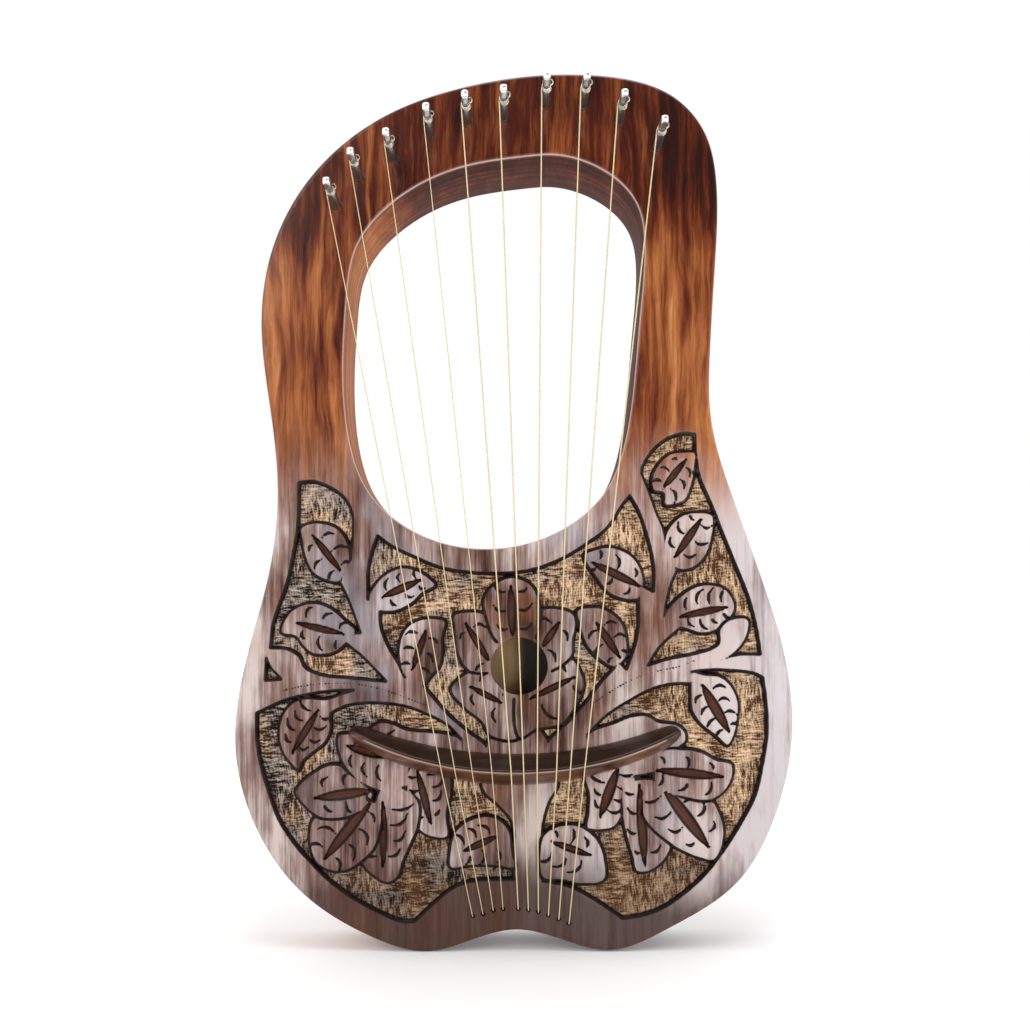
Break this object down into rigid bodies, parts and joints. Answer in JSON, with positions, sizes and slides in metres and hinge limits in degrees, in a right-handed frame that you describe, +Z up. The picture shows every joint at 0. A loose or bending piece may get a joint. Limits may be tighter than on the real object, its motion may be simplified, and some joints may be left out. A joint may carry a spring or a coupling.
{
  "type": "lyre harp",
  "caption": "Small hand-held lyre harp: one-piece hollowed rosewood frame with a carved leaf-and-flower front, metal strings over a crescent bridge to turning pins.",
  "frame": {"origin": "midway between the two bottom lobes, on the plane they rest on, at the back face", "axes": "+Z up along the instrument, -Y out of the carved front, +X towards the longest, thickest strings"},
  "size_m": [0.2583, 0.056, 0.406],
  "materials": {
    "carved_rosewood": "lacquered, worn on the carved front",
    "back_rosewood": "satin lacquer",
    "bridge_rosewood": "gloss lacquer",
    "bracing_spruce": "bare",
    "patch_hardwood": "bare",
    "nickel_pin": "nickel plated, polished",
    "bronze_wire": "bright drawn wire",
    "ball_brass": "turned"
  },
  "bodies": {
    "instrument": {"back_board": "back_rosewood", "bridge": "bridge_rosewood", "bridge_patch": "patch_hardwood", "harp_frame": "carved_rosewood", "soundboard_bar_lower": "bracing_spruce", "soundboard_bar_upper": "bracing_spruce", "string_01": "bronze_wire", "string_02": "bronze_wire", "string_03": "bronze_wire", "string_04": "bronze_wire", "string_05": "bronze_wire", "string_06": "bronze_wire", "string_07": "bronze_wire", "string_08": "bronze_wire", "string_09": "bronze_wire", "string_10": "bronze_wire", "string_ball_ends": "ball_brass"},
    "pin_01": {"tuning_pin_01": "nickel_pin", "string_winding_01": "bronze_wire"},
    "pin_02": {"tuning_pin_02": "nickel_pin", "string_winding_02": "bronze_wire"},
    "pin_03": {"tuning_pin_03": "nickel_pin", "string_winding_03": "bronze_wire"},
    "pin_04": {"tuning_pin_04": "nickel_pin", "string_winding_04": "bronze_wire"},
    "pin_05": {"tuning_pin_05": "nickel_pin", "string_winding_05": "bronze_wire"},
    "pin_06": {"tuning_pin_06": "nickel_pin", "string_winding_06": "bronze_wire"},
    "pin_07": {"tuning_pin_07": "nickel_pin", "string_winding_07": "bronze_wire"},
    "pin_08": {"tuning_pin_08": "nickel_pin", "string_winding_08": "bronze_wire"},
    "pin_09": {"tuning_pin_09": "nickel_pin", "string_winding_09": "bronze_wire"},
    "pin_10": {"tuning_pin_10": "nickel_pin", "string_winding_10": "bronze_wire"}
  },
  "joints": [
    {"name": "pin_01_turn", "type": "hinge", "parent": "instrument", "child": "pin_01", "pos_m": [-0.0825, -0.032, 0.345], "axis": [0, 1, 0], "range_deg": [-990, 90]},
    {"name": "pin_02_turn", "type": "hinge", "parent": "instrument", "child": "pin_02", "pos_m": [-0.072, -0.032, 0.358], "axis": [0, 1, 0], "range_deg": [-990, 90]},
    {"name": "pin_03_turn", "type": "hinge", "parent": "instrument", "child": "pin_03", "pos_m": [-0.0565, -0.032, 0.3665], "axis": [0, 1, 0], "range_deg": [-990, 90]},
    {"name": "pin_04_turn", "type": "hinge", "parent": "instrument", "child": "pin_04", "pos_m": [-0.039, -0.032, 0.3775], "axis": [0, 1, 0], "range_deg": [-990, 90]},
    {"name": "pin_05_turn", "type": "hinge", "parent": "instrument", "child": "pin_05", "pos_m": [-0.022, -0.032, 0.383], "axis": [0, 1, 0], "range_deg": [-990, 90]},
    {"name": "pin_06_turn", "type": "hinge", "parent": "instrument", "child": "pin_06", "pos_m": [-0.005, -0.032, 0.3855], "axis": [0, 1, 0], "range_deg": [-990, 90]},
    {"name": "pin_07_turn", "type": "hinge", "parent": "instrument", "child": "pin_07", "pos_m": [0.014, -0.032, 0.391], "axis": [0, 1, 0], "range_deg": [-990, 90]},
    {"name": "pin_08_turn", "type": "hinge", "parent": "instrument", "child": "pin_08", "pos_m": [0.0315, -0.032, 0.391], "axis": [0, 1, 0], "range_deg": [-990, 90]},
    {"name": "pin_09_turn", "type": "hinge", "parent": "instrument", "child": "pin_09", "pos_m": [0.048, -0.032, 0.3835], "axis": [0, 1, 0], "range_deg": [-990, 90]},
    {"name": "pin_10_turn", "type": "hinge", "parent": "instrument", "child": "pin_10", "pos_m": [0.0655, -0.032, 0.372], "axis": [0, 1, 0], "range_deg": [-990, 90]}
  ]
}
